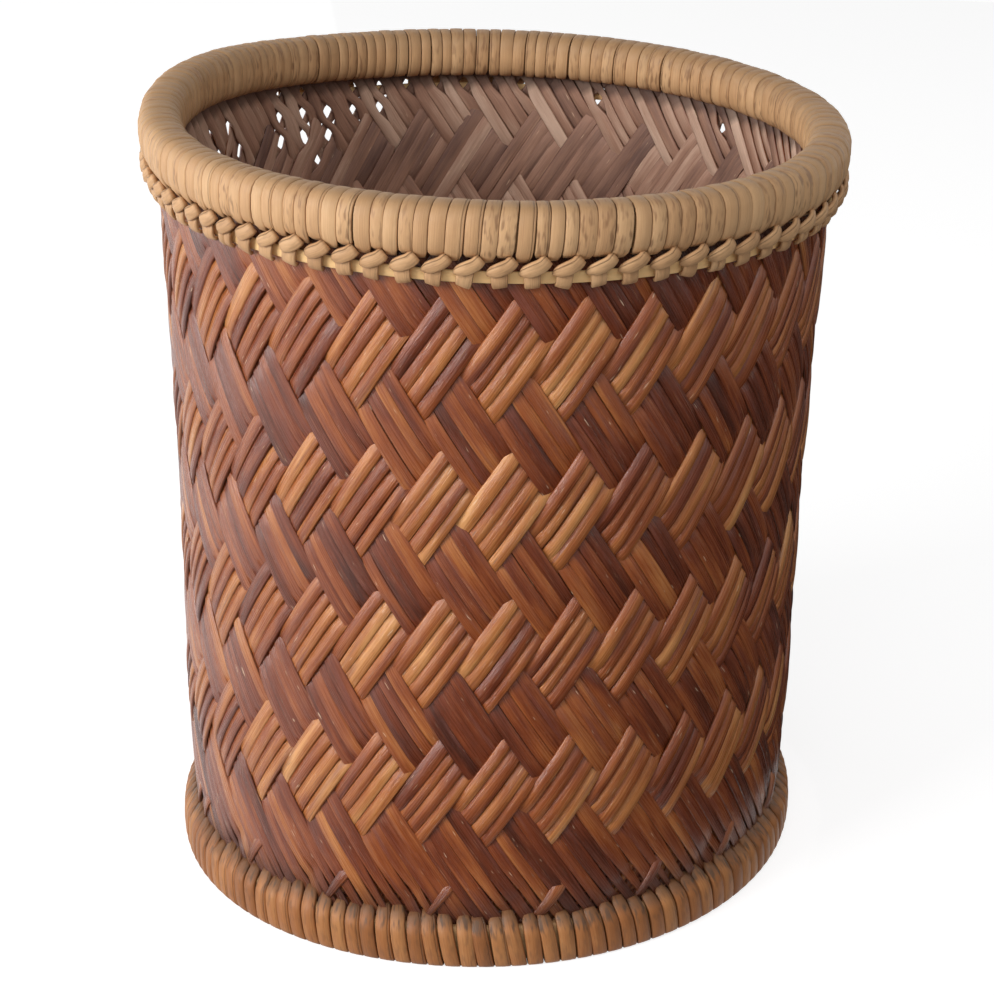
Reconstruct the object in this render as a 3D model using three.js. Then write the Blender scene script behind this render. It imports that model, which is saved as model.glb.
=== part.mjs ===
// Wicker waste basket: a round twill-woven wall and floor, a rim of two half-round hoops
// lashed over with cane and finished by a knotted plait, and a lashed foot ring.
// Units are millimetres, +Z is up, and the origin is the middle of the foot's underside.
import * as THREE from 'three';

// Driving dimensions of the whole basket
const HEIGHT = 290;                // from the surface it stands on to the top of the rim
const CLEARANCE = 0.3;             // between pieces that seat on each other

// Driving dimensions of the woven wall, measured to the outside of the weave
const WALL_THICKNESS = 3;          // two layers of split strips
const WALL_FOOT_RADIUS = 117.6;    // where the foot ring pinches it in
const WALL_LOW_SWELL = 2.1;        // how much wider it is at each height than at its foot
const WALL_LOW_HEIGHT = 42;
const WALL_MIDDLE_SWELL = 3.2;
const WALL_MIDDLE_HEIGHT = 145;
const WALL_UPPER_SWELL = 4.5;
const WALL_UPPER_HEIGHT = 228;
const WALL_TOP_SWELL = 5.2;        // where it goes up into the rim

// Driving dimensions of the weave: blocks of four strips, each six crossings long, of which one
// half climb to the right and the other half to the left
const WEAVE_STRIPS = 128;          // strips each way, a multiple of 4
const WEAVE_RISE = 4.58;           // from a crossing of two strips up to the next level of them
const FRONT_BLOCK_HEIGHT = 236;    // middle of the block at the front, just under the rim
const FRONT_BLOCK_TURN = 0.85;     // and its place round the basket, in degrees to the right
const BLOCK_CREST = 0.6;           // how far a block's face stands proud of the wall's surface
const BLOCK_GROOVE = 0.9;          // how far the strips sink where they dive, at a block's edges
const BLOCK_SLOPE = 0.17;          // width of that slope, as a share of two strips
const BLOCK_MARGIN = 2;            // between the blocks and the plain wall by the foot and rim

// Driving dimensions of the rim
const RIM_HEIGHT = 18.4;
const RIM_TURNS = 152;             // turns of cane round the rim, an even number
const RIM_CANE = 1.4;              // thickness of the lashing
const RIM_GROOVE = 0.8;            // depth of the groove between two turns
const RIM_OUTER_HOOP = 4.2;        // radial thickness of the half-round hoop outside the wall
const RIM_INNER_HOOP = 5;          // and of the one inside it
const RIM_CROWN = 7.1;             // width of the nearly level top
const RIM_SHOULDER = 4.6;          // how far below the top the rim's round shoulder starts
const RIM_UNDERCUT = 3.6;          // how far the rim's underside rises towards its faces
const RIM_INNER_CURVE = 0.7;       // how much less the inside of a turn curves than its outside
const RIM_HOOP_SEAT = 0.9;         // between the hoops' lower edges and the lashing
const FILLER_HEADROOM = 0.95;      // between the filler cane and the lashing over it

// Driving dimensions of the knotted plait under the rim, and of the flat reed it holds
const RUNNER_WIDTH = 4.2;
const RUNNER_THICKNESS = 1.4;
const PLAIT_HEIGHT = 3.4;          // the part of a stitch above the reed
const PLAIT_BULGE = 4.3;           // how far a stitch stands off the wall
const PLAIT_BULGE_HEIGHT = 1.2;    // where it stands off most, above the reed
const PLAIT_TAPER = 1.1;           // how much less it stands off at its top
const PLAIT_GROOVE = 1.4;          // depth between two stitches
const PLAIT_BAND = 1.2;            // thickness of the loop that goes round the reed
const PLAIT_DRAWN_UP = 0.6;        // how far the loop still reaches down between two stitches

// Driving dimensions of the foot ring and the floor
const FOOT_HEIGHT = 19.5;
const FOOT_TURNS = 124;            // an even number
const FOOT_CANE = 1.4;
const FOOT_GROOVE = 0.9;
const FOOT_OUTER_HOOP = 3;
const FOOT_INNER_HOOP = 4.6;
const FOOT_HOOP_SEAT = 1.5;        // between the outer hoop's upper edge and the lashing
const FOOT_SHOULDER = 6;           // how far below its top the foot ring's slope starts
const FOOT_EDGE = 2.2;             // worn edge round the flat underside
const FLOOR_UNDERSIDE = 11.7;
const FLOOR_THICKNESS = 2.4;

// Facets
const WALL_CURVE_STEPS = 24;
const WALL_STEPS_INSIDE = 3;
const HALF_ROUND_STEPS = 3;
const FILLER_SIDES = 6;

// Places that several pieces share
const wallTopRadius = WALL_FOOT_RADIUS + WALL_TOP_SWELL;
const wallTopInner = wallTopRadius - WALL_THICKNESS;
const wallFootInner = WALL_FOOT_RADIUS - WALL_THICKNESS;
const rimBottom = HEIGHT - RIM_HEIGHT;
const plaitTop = rimBottom - CLEARANCE;
const runnerTop = plaitTop - PLAIT_HEIGHT - CLEARANCE;
const runnerBottom = runnerTop - RUNNER_WIDTH;
const rimSegments = RIM_TURNS / 2;
const footSegments = FOOT_TURNS / 2;

// Materials
const finish = (color, roughness) => new THREE.MeshStandardMaterial({ color, roughness, metalness: 0 });
const brownWeave = finish(0x8a4a30, 0.42);
const strawCane = finish(0xb98e5f, 0.5);
const paleReed = finish(0xdcb57f, 0.55);
const footCane = finish(0xa97c4e, 0.5);
const hoopWood = finish(0xb08a5c, 0.6);

const basket = new THREE.Group();
basket.name = 'wicker_waste_basket';

function add(name, geometry, material) {
  const mesh = new THREE.Mesh(geometry, material);
  mesh.name = name;
  basket.add(mesh);
}

// A closed profile of [radius, height] points, counterclockwise, turned round the Z axis.
function turned(profile, segments) {
  const points = [...profile, profile[0]].map(([r, z]) => new THREE.Vector2(r, z));
  return new THREE.LatheGeometry(points, segments).rotateX(Math.PI / 2);
}

// Half-round reed: a flat face at the given radius and a round back, bulging out or in.
function halfRound(face, bulge, bottom, top) {
  const middle = (bottom + top) / 2;
  const half = (top - bottom) / 2;
  const points = [];
  for (let step = 0; step <= HALF_ROUND_STEPS; step += 1) {
    const angle = (step / HALF_ROUND_STEPS - 1 / 2) * Math.PI;
    points.push([face + bulge * Math.cos(angle), middle + half * Math.sin(angle)]);
  }
  return bulge > 0 ? points : points.reverse();
}

// A ring of points round the Z axis, which alternates between a crest and a groove profile point.
function ribbedRow(crest, groove, count) {
  const row = [];
  for (let i = 0; i < count; i += 1) {
    const [r, z] = i % 2 === 0 ? crest : groove;
    const angle = (i / count) * 2 * Math.PI;
    row.push(new THREE.Vector3(r * Math.sin(angle), -r * Math.cos(angle), z));
  }
  return row;
}

const plainRow = (point, count) => ribbedRow(point, point, count);

// Joins rows of points, which run counterclockwise round the section, into one closed ring.
// A row has as many points as the one before it, or a whole multiple or fraction of them.
function ringBody(rows) {
  const first = [];
  const position = [];
  for (const row of rows) {
    first.push(position.length / 3);
    row.forEach((p) => position.push(p.x, p.y, p.z));
  }
  const index = [];
  rows.forEach((row, i) => {
    const other = (i + 1) % rows.length;
    const a = (k) => first[i] + (k % row.length);
    const b = (k) => first[other] + (k % rows[other].length);
    const cells = Math.min(row.length, rows[other].length);
    const stepA = row.length / cells;
    const stepB = rows[other].length / cells;
    for (let cell = 0; cell < cells; cell += 1) {
      const a0 = cell * stepA;
      const b0 = cell * stepB;
      const halfA = Math.ceil(stepA / 2);
      const halfB = Math.floor(stepB / 2);
      for (let k = 0; k < halfA; k += 1) index.push(a(a0 + k), a(a0 + k + 1), b(b0 + halfB));
      for (let k = 0; k < halfB; k += 1) index.push(a(a0), b(b0 + k + 1), b(b0 + k));
      for (let k = halfA; k < stepA; k += 1) index.push(a(a0 + k), a(a0 + k + 1), b(b0 + stepB));
      for (let k = halfB; k < stepB; k += 1) index.push(a(a0 + halfA), b(b0 + k + 1), b(b0 + k));
    }
  });
  const geometry = new THREE.BufferGeometry();
  geometry.setAttribute('position', new THREE.Float32BufferAttribute(position, 3));
  geometry.setIndex(index);
  geometry.computeVertexNormals();
  return geometry;
}

// A body made of points placed by their turn, radius and height, and of the faces between them.
class TurnedMesh {
  constructor() {
    this.position = [];
    this.turns = [];
    this.index = [];
  }

  point(turn, radius, height) {
    this.position.push(radius * Math.sin(turn), -radius * Math.cos(turn), height);
    this.turns.push(turn);
    return this.turns.length - 1;
  }

  ring(radius, height, startTurn, count) {
    const turns = Array.from({ length: count }, (_, k) => startTurn + (k / count) * 2 * Math.PI);
    return turns.map((turn) => this.point(turn, radius, height));
  }

  // Closes the gap between two rings, the second of which comes next round the section.
  join(first, second) {
    const around = (ring, k) => (
      this.turns[ring[k % ring.length]] + 2 * Math.PI * Math.floor(k / ring.length)
    );
    let [a, b] = [0, 0];
    while (a < first.length || b < second.length) {
      const [a0, b0] = [first[a % first.length], second[b % second.length]];
      const firstIsNext = around(first, a + 1) <= around(second, b + 1);
      if (b === second.length || (a < first.length && firstIsNext)) {
        a += 1;
        this.index.push(a0, first[a % first.length], b0);
      } else {
        b += 1;
        this.index.push(a0, second[b % second.length], b0);
      }
    }
  }

  geometry() {
    const geometry = new THREE.BufferGeometry();
    geometry.setAttribute('position', new THREE.Float32BufferAttribute(this.position, 3));
    geometry.setIndex(this.index);
    geometry.computeVertexNormals();
    return geometry;
  }
}

// The part of a convex outline of whole [step, row] points that lies above or below a row. Its
// sides cross every row at a whole step.
function cutAtRow(outline, row, keepAbove) {
  const isKept = (p) => (keepAbove ? p[1] >= row : p[1] <= row);
  return outline.flatMap((p, k) => {
    const next = outline[(k + 1) % outline.length];
    const kept = isKept(p) ? [p] : [];
    if (isKept(p) === isKept(next) || p[1] === row || next[1] === row) return kept;
    const share = (row - p[1]) / (next[1] - p[1]);
    return [...kept, [Math.round(p[0] + (next[0] - p[0]) * share), row]];
  });
}

// Woven wall: it is vertical inside the foot ring and inside the rim, and swells between them.
// Outside, the blocks of strips stand proud, with a groove round each, where the strips dive.
const footCaneTop = FOOT_CANE + CLEARANCE;
const fillerDiameter = WALL_THICKNESS;
const rimBoreTop = HEIGHT - RIM_CANE;
const wallTop = rimBoreTop - FILLER_HEADROOM - fillerDiameter - CLEARANCE;
const wallCurve = new THREE.SplineCurve([
  new THREE.Vector2(WALL_FOOT_RADIUS, FOOT_HEIGHT),
  new THREE.Vector2(WALL_FOOT_RADIUS + WALL_LOW_SWELL, WALL_LOW_HEIGHT),
  new THREE.Vector2(WALL_FOOT_RADIUS + WALL_MIDDLE_SWELL, WALL_MIDDLE_HEIGHT),
  new THREE.Vector2(WALL_FOOT_RADIUS + WALL_UPPER_SWELL, WALL_UPPER_HEIGHT),
  new THREE.Vector2(wallTopRadius, runnerBottom - CLEARANCE),
]);
const wallOutline = wallCurve.getPoints(WALL_CURVE_STEPS);

function wallReach(height) {
  const above = wallOutline.findIndex((p) => p.y >= height);
  const [low, high] = [wallOutline[above - 1], wallOutline[above]];
  return THREE.MathUtils.mapLinear(height, low.y, high.y, low.x, high.x);
}

// The outlines of the two kinds of block, counterclockwise, as [step, row] points: a step is one
// strip's share of the way round, and a row is two crossings up. The blocks repeat every 4 steps
// and every 6 rows. The third and sixth points are a neighbour's corner on a side.
const BLOCK_OUTLINES = [
  [[0, 0], [2, -2], [4, 0], [5, 1], [3, 3], [1, 1]],
  [[4, 0], [2, -2], [3, -3], [5, -5], [7, -3], [6, -2]],
];
const REPEAT_STEPS = 4;
const REPEAT_ROWS = 6;
const FRONT_BLOCK_MIDDLE = [2.5, 0.5];

const rowHeight = 2 * WEAVE_RISE;
const heightOf = (row) => FRONT_BLOCK_HEIGHT + (row - FRONT_BLOCK_MIDDLE[1]) * rowHeight;
const rowOf = (height) => (height - FRONT_BLOCK_HEIGHT) / rowHeight + FRONT_BLOCK_MIDDLE[1];
const turnOf = (step) => (
  THREE.MathUtils.degToRad(FRONT_BLOCK_TURN)
  + ((step - FRONT_BLOCK_MIDDLE[0]) / WEAVE_STRIPS) * 2 * Math.PI
);
const lowestRow = Math.ceil(rowOf(FOOT_HEIGHT + BLOCK_MARGIN));
const highestRow = Math.floor(rowOf(runnerBottom - CLEARANCE - BLOCK_MARGIN));
const wall = new TurnedMesh();

// The corners of the blocks, which neighbours share. They lie in the grooves.
const blockCorners = new Map();
function blockCorner([step, row]) {
  const stepRound = THREE.MathUtils.euclideanModulo(step, WEAVE_STRIPS);
  const key = `${stepRound} ${row}`;
  if (!blockCorners.has(key)) {
    const radius = wallReach(heightOf(row)) - BLOCK_GROOVE;
    const id = wall.point(turnOf(stepRound), radius, heightOf(row));
    blockCorners.set(key, { id, step: stepRound, row });
  }
  return blockCorners.get(key).id;
}

function crestPoint([step, row]) {
  return wall.point(turnOf(step), wallReach(heightOf(row)) + BLOCK_CREST, heightOf(row));
}

// A whole block has a level face, whose corners lie in from its own along both of its sides.
function addWholeBlock(outline) {
  const [o0, o1, o2, o3, o4, o5] = outline.map(blockCorner);
  const corners = [outline[0], outline[1], outline[3], outline[4]];
  const face = corners.map(([step, row], k) => {
    const [before, after] = [corners[(k + 3) % 4], corners[(k + 1) % 4]];
    const inwards = (axis) => (
      Math.sign(before[axis] - [step, row][axis]) + Math.sign(after[axis] - [step, row][axis])
    ) * BLOCK_SLOPE;
    return [step + inwards(0), row + inwards(1)];
  });
  const [f0, f1, f2, f3] = face.map(crestPoint);
  wall.index.push(o0, o1, f1, o0, f1, f0);
  wall.index.push(o1, o2, f1, o2, f2, f1, o2, o3, f2);
  wall.index.push(o3, o4, f3, o3, f3, f2);
  wall.index.push(o4, o5, f3, o5, f0, f3, o5, o0, f0);
  const upright = Math.abs(face[0][0] - face[2][0]) < Math.abs(face[1][0] - face[3][0]);
  wall.index.push(...(upright ? [f0, f1, f2, f0, f2, f3] : [f0, f1, f3, f1, f2, f3]));
}

// A block that the foot or the rim cuts short rises to one point.
function addCutBlock(outline) {
  const middle = [0, 1].map((axis) => outline.reduce((sum, p) => sum + p[axis], 0) / outline.length);
  const top = crestPoint(middle);
  outline.map(blockCorner).forEach((id, k, ids) => wall.index.push(id, ids[(k + 1) % ids.length], top));
}

const firstRepeat = Math.floor(lowestRow / REPEAT_ROWS) - 1;
const lastRepeat = Math.ceil(highestRow / REPEAT_ROWS) + 1;
for (let repeat = firstRepeat; repeat <= lastRepeat; repeat += 1) {
  for (let step = 0; step < WEAVE_STRIPS; step += REPEAT_STEPS) {
    for (const shape of BLOCK_OUTLINES) {
      const outline = shape.map((p) => [p[0] + step, p[1] + repeat * REPEAT_ROWS]);
      const cut = cutAtRow(cutAtRow(outline, lowestRow, true), highestRow, false);
      const isWhole = outline.every((p) => cut.includes(p));
      if (isWhole) addWholeBlock(outline);
      else if (cut.length > 2) addCutBlock(cut);
    }
  }
}
const cornersAt = (row) => [...blockCorners.values()]
  .filter((corner) => corner.row === row)
  .sort((a, b) => a.step - b.step)
  .map((corner) => corner.id);

const wallRings = [
  cornersAt(highestRow),
  ...[
    [wallTopRadius, runnerBottom - CLEARANCE],
    [wallTopRadius, wallTop],
    [wallTopInner, wallTop],
    ...wallCurve.getPoints(WALL_STEPS_INSIDE).reverse().map((p) => [p.x - WALL_THICKNESS, p.y]),
    [wallFootInner, footCaneTop],
    [WALL_FOOT_RADIUS, footCaneTop],
    [WALL_FOOT_RADIUS, FOOT_HEIGHT],
  ].map(([radius, height]) => wall.ring(radius, height, turnOf(0), WEAVE_STRIPS / 2)),
  cornersAt(lowestRow),
];
wallRings.slice(1).forEach((ring, k) => wall.join(wallRings[k], ring));
add('woven_wall', wall.geometry(), brownWeave);

// Woven floor: a flat mat whose edge lies on the inner foot hoop and its lashing.
add('woven_floor', new THREE.LatheGeometry([
  new THREE.Vector2(0, FLOOR_UNDERSIDE),
  new THREE.Vector2(wallFootInner - CLEARANCE, FLOOR_UNDERSIDE),
  new THREE.Vector2(wallFootInner - CLEARANCE, FLOOR_UNDERSIDE + FLOOR_THICKNESS),
  new THREE.Vector2(0, FLOOR_UNDERSIDE + FLOOR_THICKNESS),
], rimSegments).rotateX(Math.PI / 2), brownWeave);

// Rim hoops: two half-round reeds with the wall's edge between their flat faces, and a round
// filler cane that lies on the edge.
const rimSlotOuter = wallTopRadius + CLEARANCE;
const rimSlotInner = wallTopInner - CLEARANCE;
const rimOuter = rimSlotOuter + RIM_OUTER_HOOP + CLEARANCE + RIM_CANE;
const rimInner = rimSlotInner - RIM_INNER_HOOP - CLEARANCE - RIM_CANE;
const rimHoopBottom = rimBottom + RIM_CANE + RIM_HOOP_SEAT;
const rimHoopTop = wallTop + fillerDiameter / 2 + CLEARANCE;
add('rim_outer_hoop', turned(
  halfRound(rimSlotOuter, RIM_OUTER_HOOP, rimHoopBottom, rimHoopTop),
  rimSegments,
), hoopWood);
add('rim_inner_hoop', turned(
  halfRound(rimSlotInner, -RIM_INNER_HOOP, rimHoopBottom, rimHoopTop),
  rimSegments,
), hoopWood);
const fillerRadius = fillerDiameter / 2;
const fillerMiddle = [wallTopRadius - WALL_THICKNESS / 2, wallTop + CLEARANCE + fillerRadius];
const fillerSection = [];
for (let side = 0; side < FILLER_SIDES; side += 1) {
  const angle = (side / FILLER_SIDES) * 2 * Math.PI;
  fillerSection.push([
    fillerMiddle[0] + fillerRadius * Math.cos(angle),
    fillerMiddle[1] + fillerRadius * Math.sin(angle),
  ]);
}
add('rim_filler_cane', turned(fillerSection, rimSegments), hoopWood);

// Rim lashing: close turns of half-round cane round the hoops, open below where the wall enters.
const rimMiddle = (rimOuter + rimInner) / 2;
const rimBoreBottom = rimBottom + RIM_CANE;
const rimCrest = [
  [rimSlotOuter, rimBottom],
  [rimOuter, rimBottom + RIM_UNDERCUT],
  [rimOuter, HEIGHT - RIM_SHOULDER],
  [rimMiddle + RIM_CROWN / 2, HEIGHT],
  [rimMiddle - RIM_CROWN / 2, HEIGHT],
  [rimInner, HEIGHT - RIM_SHOULDER],
  [rimInner, rimBottom + RIM_UNDERCUT],
  [rimSlotInner, rimBottom],
];
// A groove point lies straight in from its crest point, towards the middle of the section.
const rimGroove = rimCrest.map(([r, z], k) => {
  const onLip = k === 0 || k === rimCrest.length - 1;
  const toMiddle = [rimMiddle - r, (HEIGHT + rimBottom) / 2 - z];
  const share = onLip ? 0 : RIM_GROOVE / Math.hypot(...toMiddle);
  return [r + toMiddle[0] * share, z + toMiddle[1] * share];
});
const rimBoreLow = rimBoreBottom + RIM_UNDERCUT - RIM_INNER_CURVE;
const rimBoreHigh = rimBoreTop - RIM_SHOULDER + RIM_INNER_CURVE;
const rimBore = [
  [rimSlotInner, rimBoreBottom],
  [rimInner + RIM_CANE, rimBoreLow],
  [rimInner + RIM_CANE, rimBoreHigh],
  [rimMiddle, rimBoreTop],
  [rimOuter - RIM_CANE, rimBoreHigh],
  [rimOuter - RIM_CANE, rimBoreLow],
  [rimSlotOuter, rimBoreBottom],
];
add('rim_lashing', ringBody([
  ...rimCrest.map((crest, k) => ribbedRow(crest, rimGroove[k], 2 * RIM_TURNS)),
  ...rimBore.map((point) => plainRow(point, rimSegments)),
]), strawCane);

// Plait runner: a pale flat reed that lies round the wall just under the rim.
const runnerInner = wallTopRadius + CLEARANCE;
const runnerOuter = runnerInner + RUNNER_THICKNESS;
add('plait_runner', turned([
  [runnerInner, runnerBottom],
  [runnerOuter, runnerBottom],
  [runnerOuter, runnerTop],
  [runnerInner, runnerTop],
], rimSegments), paleReed);

// Rim plait: one knotted stitch for every second turn, with a lobe under the rim and a band
// that goes down over the reed. Between two stitches the band's lower end draws up.
function plaitSection(bulge, bandReach) {
  const seat = runnerTop + CLEARANCE;
  const bandInner = runnerOuter + CLEARANCE;
  return [
    [runnerInner, seat],
    [bandInner, seat],
    [bandInner, seat - bandReach],
    [bandInner + PLAIT_BAND, seat - bandReach],
    [runnerInner + bulge, seat + PLAIT_BULGE_HEIGHT],
    [runnerInner + bulge - PLAIT_TAPER, plaitTop],
    [runnerInner, plaitTop],
  ];
}
const stitchCrest = plaitSection(PLAIT_BULGE, CLEARANCE + RUNNER_WIDTH + CLEARANCE);
const stitchGroove = plaitSection(PLAIT_BULGE - PLAIT_GROOVE, PLAIT_DRAWN_UP);
add('rim_plait', ringBody(
  stitchCrest.map((crest, k) => ribbedRow(crest, stitchGroove[k], RIM_TURNS)),
), strawCane);

// Foot hoops: a half-round reed outside the wall and a square one inside it, under the floor.
const footSlotOuter = WALL_FOOT_RADIUS + CLEARANCE;
const footSlotInner = wallFootInner - CLEARANCE;
const footOuter = footSlotOuter + FOOT_OUTER_HOOP + CLEARANCE + FOOT_CANE;
const footInner = footSlotInner - FOOT_INNER_HOOP - CLEARANCE - FOOT_CANE;
const footHoopTop = FOOT_HEIGHT - FOOT_CANE - FOOT_HOOP_SEAT;
const floorSeat = FLOOR_UNDERSIDE - CLEARANCE;
add('foot_outer_hoop', turned(
  halfRound(footSlotOuter, FOOT_OUTER_HOOP, footCaneTop, footHoopTop),
  footSegments,
), hoopWood);
add('foot_inner_hoop', turned([
  [footSlotInner - FOOT_INNER_HOOP, footCaneTop],
  [footSlotInner, footCaneTop],
  [footSlotInner, floorSeat],
  [footSlotInner - FOOT_INNER_HOOP, floorSeat],
], footSegments), hoopWood);

// Foot lashing: turns of cane round both hoops, open at the top where the wall comes in, and
// worn flat underneath. The turns show as ribs on the outside, with grooves that run out
// towards the underside and the top.
const footShallow = FOOT_GROOVE / 2;
const footCrest = [
  [footOuter - FOOT_EDGE, 0],
  [footOuter, FOOT_EDGE],
  [footOuter, FOOT_HEIGHT - FOOT_SHOULDER],
  [footSlotOuter, FOOT_HEIGHT],
];
const footGroove = [
  [footOuter - FOOT_EDGE - footShallow, 0],
  [footOuter - FOOT_GROOVE, FOOT_EDGE],
  [footOuter - FOOT_GROOVE, FOOT_HEIGHT - FOOT_SHOULDER],
  [footSlotOuter, FOOT_HEIGHT - footShallow],
];
const footPlain = [
  [footSlotOuter, FOOT_HEIGHT - FOOT_CANE - CLEARANCE],
  [footOuter - FOOT_CANE, FOOT_HEIGHT - FOOT_SHOULDER],
  [footOuter - FOOT_CANE, FOOT_CANE],
  [footInner + FOOT_CANE, FOOT_CANE],
  [footInner + FOOT_CANE, floorSeat],
  [footInner, floorSeat],
  [footInner, FOOT_EDGE],
  [footInner + FOOT_EDGE, 0],
];
add('foot_lashing', ringBody([
  ...footCrest.map((crest, k) => ribbedRow(crest, footGroove[k], 2 * FOOT_TURNS)),
  ...footPlain.map((point) => plainRow(point, footSegments)),
]), footCane);

export default basket;
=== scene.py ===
import math
import random
from bisect import bisect_left

import bmesh
import bpy
from mathutils import Matrix, Vector


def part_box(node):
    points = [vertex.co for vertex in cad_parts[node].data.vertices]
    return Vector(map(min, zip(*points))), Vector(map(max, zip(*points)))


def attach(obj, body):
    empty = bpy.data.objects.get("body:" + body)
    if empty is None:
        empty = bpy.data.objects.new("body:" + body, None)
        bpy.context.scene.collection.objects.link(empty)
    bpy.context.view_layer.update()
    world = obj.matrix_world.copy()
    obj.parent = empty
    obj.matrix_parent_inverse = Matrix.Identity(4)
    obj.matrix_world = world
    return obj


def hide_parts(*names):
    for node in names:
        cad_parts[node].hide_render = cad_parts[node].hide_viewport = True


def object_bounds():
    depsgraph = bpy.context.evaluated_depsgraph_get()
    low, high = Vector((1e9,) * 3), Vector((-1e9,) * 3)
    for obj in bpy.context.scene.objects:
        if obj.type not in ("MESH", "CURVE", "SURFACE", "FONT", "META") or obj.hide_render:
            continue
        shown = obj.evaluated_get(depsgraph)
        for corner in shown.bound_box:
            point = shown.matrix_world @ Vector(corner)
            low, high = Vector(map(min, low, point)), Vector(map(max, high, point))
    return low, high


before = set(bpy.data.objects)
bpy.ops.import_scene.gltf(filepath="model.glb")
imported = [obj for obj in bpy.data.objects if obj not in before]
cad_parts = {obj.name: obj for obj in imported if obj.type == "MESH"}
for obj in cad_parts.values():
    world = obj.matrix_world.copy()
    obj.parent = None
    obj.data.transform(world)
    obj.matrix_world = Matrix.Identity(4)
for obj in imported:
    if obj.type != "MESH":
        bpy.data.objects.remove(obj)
cad_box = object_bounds()


# Woven wall
# 128 split strips each way, about 5 mm wide and shiny on the outside, cross in a block twill.
# They start under the foot's lashing and end between the two hoops of the rim.
STRIPS = 128
WAYS = {"slash": 1, "backslash": -1}
CROSSING_TURN = math.pi / STRIPS
CROSSING_RISE = 0.00458
FRONT_BLOCK_TURN = math.radians(0.85)
FRONT_BLOCK_HEIGHT = 0.236
BLOCK_STRIPS = 4
BLOCK_LENGTH = 6
TWILL_REPEAT = 24
STRIP_SIDES = 8
STRIP_THICKNESS = 0.0009
STRIP_CROWN = {"slash": 0.0005, "backslash": 0.00022}
STRIP_SQUARENESS = {"slash": 0.42, "backslash": 0.32}
STRIP_GAP = {"slash": -0.0004, "backslash": -0.0003}
STRIP_TILT = {"slash": math.radians(-7), "backslash": math.radians(3)}
STRIP_SWING = 0.0008
FLOAT_BULGE = 0.35
STRIP_GRIP = 0.0012
WALL_THICKNESS = 0.003
# The solid's blocks of strips stand 0.6 mm proud of the wall's mean surface, and sink 0.9 mm
# below it between them. Near the foot's lashing and the reed under the rim the solid is plain.
BLOCK_CREST = 0.0006
BLOCK_GROOVE = 0.0009
PLAIN_OVER_FOOT = 0.0002
PLAIN_UNDER_REED = 0.0005
FACES_OUT = 0.5

random.seed(128)
wall_low, wall_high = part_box("woven_wall")
rim_low, rim_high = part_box("rim_lashing")
foot_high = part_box("foot_lashing")[1]
height = cad_box[1][2] - cad_box[0][2]

plain_below = foot_high.z + PLAIN_OVER_FOOT
plain_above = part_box("plait_runner")[0].z - PLAIN_UNDER_REED
reaches_at = {}
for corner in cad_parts["woven_wall"].data.vertices:
    away = Vector((corner.co.x, corner.co.y, 0))
    if corner.normal.dot(away.normalized()) > FACES_OUT:
        reaches_at.setdefault(round(corner.co.z, 5), []).append(away.length)
# Only a level that is plain, or has both crests and grooves, tells the mean surface.
wall_levels = []
wall_reaches = []
for level, reaches in sorted(reaches_at.items()):
    crest, groove = max(reaches), min(reaches)
    is_plain = level < plain_below or level > plain_above
    if is_plain or crest - groove > BLOCK_CREST:
        wall_levels.append(level)
        groove_share = BLOCK_GROOVE / (BLOCK_GROOVE + BLOCK_CREST)
        wall_reaches.append(groove + (crest - groove) * groove_share)


def wall_reach(z):
    """Radius of the wall's outside at a height, from the outline of its solid."""
    above = min(max(bisect_left(wall_levels, z), 1), len(wall_levels) - 1)
    low, high = wall_levels[above - 1], wall_levels[above]
    share = min(max((z - low) / (high - low), 0), 1)
    return wall_reaches[above - 1] * (1 - share) + wall_reaches[above] * share


# Made by hand, the basket is a little taller at its left, leans to the right and is narrower
# halfway up. Its rim is raised at the back left, and its foot is pulled out at the front left.
TALLER_LEFT = 0.029
LEAN_ASIDE = 0.0046
WAIST = 0.016
FOOT_SKEW = 0.02
FOOT_ASIDE = 0.0012
LEFT_FORWARD = 0.4
RAISED_WAY = Vector((-0.927, 0.375))
RAISED_RIM = 0.0036
RAISED_NARROWNESS = 8


def lean(point):
    """Moves a point of the true round basket to where it is in the uneven one."""
    share_up = point.z / height
    waist = 1 - WAIST * math.sin(math.pi * share_up)
    low = (1 - min(max(share_up, 0), 1)) ** 2
    x, y = point.x, point.y
    point.z *= 1 - TALLER_LEFT * x / height
    raised = max(RAISED_WAY.dot(Vector((x, y)).normalized()), 0) ** RAISED_NARROWNESS
    point.z += RAISED_RIM * raised * share_up ** 2
    point.x = x * waist + LEAN_ASIDE * (share_up - 0.5) + (FOOT_SKEW * y + FOOT_ASIDE) * low
    point.y = y * waist - LEFT_FORWARD * min(x, 0) ** 2 * low
    return point


def round_place(turn, reach, z):
    """A point by its turn from the front, its distance from the axis and its height."""
    return Vector((reach * math.sin(turn), -reach * math.cos(turn), z))


def ease(low, high, value):
    """Rises smoothly from 0 at low to 1 at high."""
    share = min(max((value - low) / (high - low), 0), 1)
    return share * share * (3 - 2 * share)


slash_blocks = set()
for across in range(BLOCK_STRIPS):
    for along in range(BLOCK_LENGTH):
        for m in range(TWILL_REPEAT // BLOCK_STRIPS):
            for n in range(TWILL_REPEAT // BLOCK_LENGTH):
                i = across + BLOCK_STRIPS * m + BLOCK_LENGTH * n
                j = along + BLOCK_STRIPS * m - BLOCK_LENGTH * n
                slash_blocks.add((i % TWILL_REPEAT, j % TWILL_REPEAT))


def slash_on_top(i, j):
    """Whether the strip that climbs to the right is outside where strips i and j cross."""
    return (i % TWILL_REPEAT, j % TWILL_REPEAT) in slash_blocks


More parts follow.
